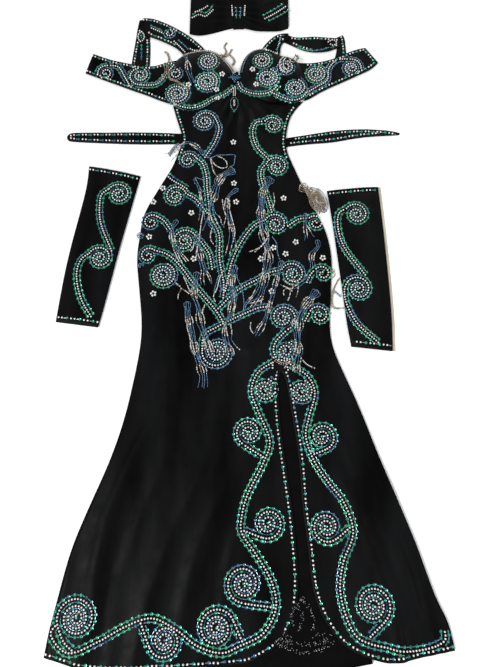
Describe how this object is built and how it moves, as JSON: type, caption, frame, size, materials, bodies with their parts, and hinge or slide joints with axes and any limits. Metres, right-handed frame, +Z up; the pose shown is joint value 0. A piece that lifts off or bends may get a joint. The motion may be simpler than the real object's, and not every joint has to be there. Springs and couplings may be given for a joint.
{
  "type": "belly dance costume set",
  "caption": "Long stretch dress with hollow bra cups, front slit, beaded scrolls and bead fringe, laid flat with two forearm sleeves and a gathered headband.",
  "frame": {"origin": "middle of the outline's box, on the surface that the costume lies on", "axes": "+X to the viewer's right, +Y from the hem towards the neck and headband, +Z up from the surface"},
  "size_m": [0.766, 1.462, 0.0441],
  "materials": {
    "black_cloth": "soft sheen stretch knit",
    "plain_cloth": "matt stretch knit",
    "blue_beads": "glossy glass bugle beads on thread",
    "tan_beads": "glossy glass beads on thread"
  },
  "bodies": {
    "root": {"front_panel": "black_cloth", "slit_insert": "plain_cloth", "back_panel": "plain_cloth", "cup_left": "black_cloth", "cup_right": "black_cloth", "wing_left": "black_cloth", "wing_right": "black_cloth", "strap_left_front": "black_cloth", "strap_left_back": "black_cloth", "strap_right_front": "black_cloth", "strap_right_middle": "black_cloth", "strap_right_back": "black_cloth", "waist_band_left": "black_cloth", "waist_band_right": "black_cloth", "gauntlet_left_front": "black_cloth", "gauntlet_left_back": "plain_cloth", "gauntlet_right_front": "black_cloth", "gauntlet_right_back": "plain_cloth", "headband_front": "black_cloth", "headband_back": "plain_cloth", "headband_wrap": "black_cloth", "fringe_waist_left": "blue_beads", "fringe_waist_middle": "blue_beads", "fringe_waist_inner": "tan_beads", "fringe_waist_outer": "blue_beads", "fringe_side_left": "blue_beads", "fringe_belly_left": "blue_beads", "fringe_hip_left": "blue_beads", "fringe_hip_outer": "blue_beads", "fringe_middle": "tan_beads", "fringe_belly_right": "blue_beads", "fringe_belly_low": "blue_beads", "fringe_side_right": "blue_beads", "fringe_side_low": "blue_beads", "fringe_curl_right": "blue_beads", "fringe_hip_right": "blue_beads", "fringe_edge_right": "tan_beads", "fringe_cup_left": "blue_beads", "fringe_wing_left": "tan_beads"}
  },
  "joints": []
}
